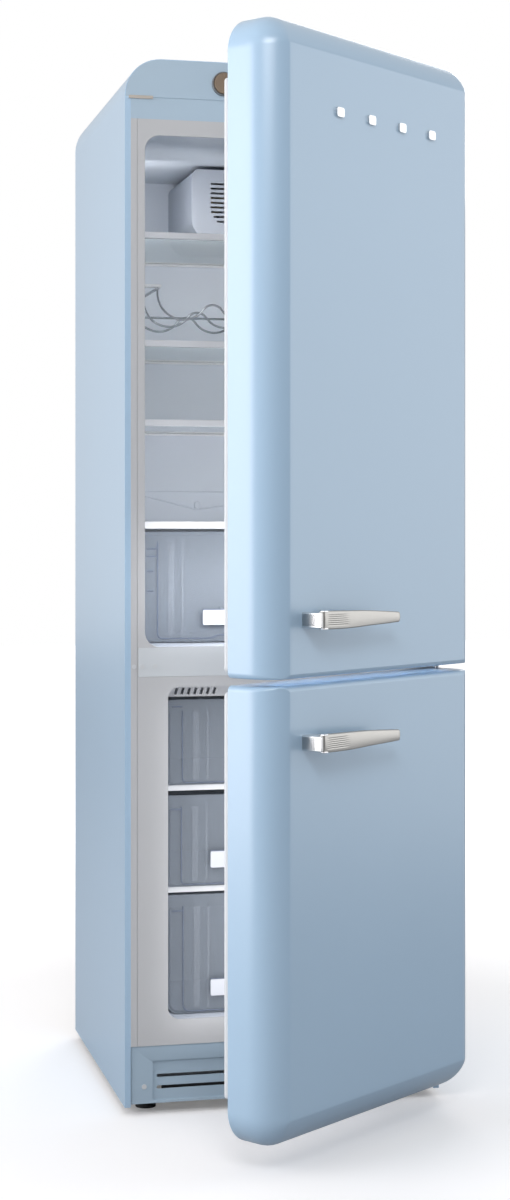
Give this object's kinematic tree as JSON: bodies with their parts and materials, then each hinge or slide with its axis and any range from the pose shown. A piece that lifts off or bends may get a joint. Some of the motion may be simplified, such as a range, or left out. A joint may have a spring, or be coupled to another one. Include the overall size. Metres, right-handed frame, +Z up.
{
  "type": "upright refrigerator",
  "caption": "Upright two-door refrigerator with a loaf-shaped blue cabinet, pillow-edged hinged doors, lever handles, glass shelves, a crisper and freezer drawers.",
  "frame": {"origin": "on the floor, below the middle of the cabinet footprint without its doors", "axes": "+X to the right seen from the front, -Y out of the front, +Z up"},
  "size_m": [0.622, 1.0396, 1.926],
  "materials": {
    "body_paint": "gloss",
    "panel_paint": "satin",
    "frame_plastic": "satin",
    "liner_plastic": "satin",
    "white_plastic": "satin",
    "beige_plastic": "satin",
    "foam": "matt",
    "steel": "satin",
    "chrome": "polished",
    "black_steel": "satin",
    "dark_plastic": "matt",
    "dial_plastic": "satin",
    "glass": "polished",
    "clear_plastic": "polished",
    "rubber": "matt",
    "gasket_rubber": "matt"
  },
  "bodies": {
    "cabinet": {"cabinet_shell": "body_paint", "back_panel": "steel", "cabinet_foam": "foam", "fridge_liner": "liner_plastic", "freezer_liner": "liner_plastic", "front_frame": "frame_plastic", "mid_rail": "frame_plastic", "screw_plugs": "white_plastic", "top_fascia": "panel_paint", "control_band": "panel_paint", "hinge_clip": "beige_plastic", "plinth": "panel_paint", "base_frame": "steel", "compressor": "black_steel", "compressor_mounts": "rubber", "condenser": "black_steel", "power_inlet": "dark_plastic", "top_hinge": "steel", "middle_hinge": "steel", "bottom_hinge": "steel", "fan_cover": "liner_plastic", "fan_motor": "dark_plastic", "evaporator_cover": "liner_plastic", "freezer_vent": "frame_plastic", "shelf_supports": "liner_plastic", "shelf_lower": "glass", "shelf_lower_trim": "white_plastic", "shelf_middle": "glass", "shelf_middle_trim": "white_plastic", "shelf_upper": "glass", "shelf_upper_trim": "white_plastic", "crisper_cover": "white_plastic", "wine_rack": "chrome", "freezer_shelves": "white_plastic", "thermostat_bezel": "dark_plastic"},
    "thermostat": {"thermostat_dial": "dial_plastic"},
    "air_fan": {"fan_rotor": "white_plastic"},
    "rear_roller_left": {"roller_left": "rubber"},
    "rear_roller_right": {"roller_right": "rubber"},
    "front_foot_left": {"foot_left": "rubber"},
    "front_foot_right": {"foot_right": "rubber"},
    "crisper": {"crisper_drawer": "clear_plastic"},
    "drawer_bottom": {"freezer_drawer_bottom": "clear_plastic"},
    "drawer_middle": {"freezer_drawer_middle": "clear_plastic"},
    "drawer_top": {"freezer_drawer_top": "clear_plastic"},
    "fridge_door": {"fridge_door_skin": "body_paint", "fridge_door_foam": "foam", "fridge_door_liner": "white_plastic", "fridge_door_gasket": "gasket_rubber", "fridge_handle_block": "chrome", "fridge_handle_lever": "chrome", "fridge_door_trim": "chrome", "door_bin_lower": "clear_plastic", "door_bin_middle": "clear_plastic", "door_bin_upper": "clear_plastic"},
    "freezer_door": {"freezer_door_skin": "body_paint", "freezer_door_core": "white_plastic", "freezer_door_gasket": "gasket_rubber", "freezer_handle_block": "chrome", "freezer_handle_lever": "chrome"}
  },
  "joints": [
    {"name": "fridge_door_hinge", "type": "hinge", "parent": "cabinet", "child": "fridge_door", "pos_m": [0.286, -0.323, 1.37], "axis": [0, 0, 1], "range_deg": [-36.6, 80]},
    {"name": "freezer_door_hinge", "type": "hinge", "parent": "cabinet", "child": "freezer_door", "pos_m": [0.286, -0.323, 0.43], "axis": [0, 0, 1], "range_deg": [-36.6, 80]},
    {"name": "crisper_slide", "type": "slide", "parent": "cabinet", "child": "crisper", "axis": [0, -1, 0], "range_m": [0, 0.09]},
    {"name": "drawer_bottom_slide", "type": "slide", "parent": "cabinet", "child": "drawer_bottom", "axis": [0, -1, 0], "range_m": [0, 0.08]},
    {"name": "drawer_middle_slide", "type": "slide", "parent": "cabinet", "child": "drawer_middle", "axis": [0, -1, 0], "range_m": [0, 0.08]},
    {"name": "drawer_top_slide", "type": "slide", "parent": "cabinet", "child": "drawer_top", "axis": [0, -1, 0], "range_m": [0, 0.08]},
    {"name": "thermostat_turn", "type": "hinge", "parent": "cabinet", "child": "thermostat", "pos_m": [-0.116, -0.295, 1.886], "axis": [0, -1, 0], "range_deg": [-135, 135]},
    {"name": "fan_spin", "type": "hinge", "parent": "cabinet", "child": "air_fan", "pos_m": [0, 0.245, 1.709], "axis": [0, 1, 0], "continuous": true},
    {"name": "roller_left_spin", "type": "hinge", "parent": "cabinet", "child": "rear_roller_left", "pos_m": [-0.2595, 0.245, 0.018], "axis": [1, 0, 0], "continuous": true},
    {"name": "roller_right_spin", "type": "hinge", "parent": "cabinet", "child": "rear_roller_right", "pos_m": [0.2595, 0.245, 0.018], "axis": [1, 0, 0], "continuous": true},
    {"name": "foot_left_turn", "type": "hinge", "parent": "cabinet", "child": "front_foot_left", "pos_m": [-0.25, -0.233, 0.02], "axis": [0, 0, 1], "range_deg": [-180, 180]},
    {"name": "foot_right_turn", "type": "hinge", "parent": "cabinet", "child": "front_foot_right", "pos_m": [0.25, -0.233, 0.02], "axis": [0, 0, 1], "range_deg": [-180, 180]}
  ]
}
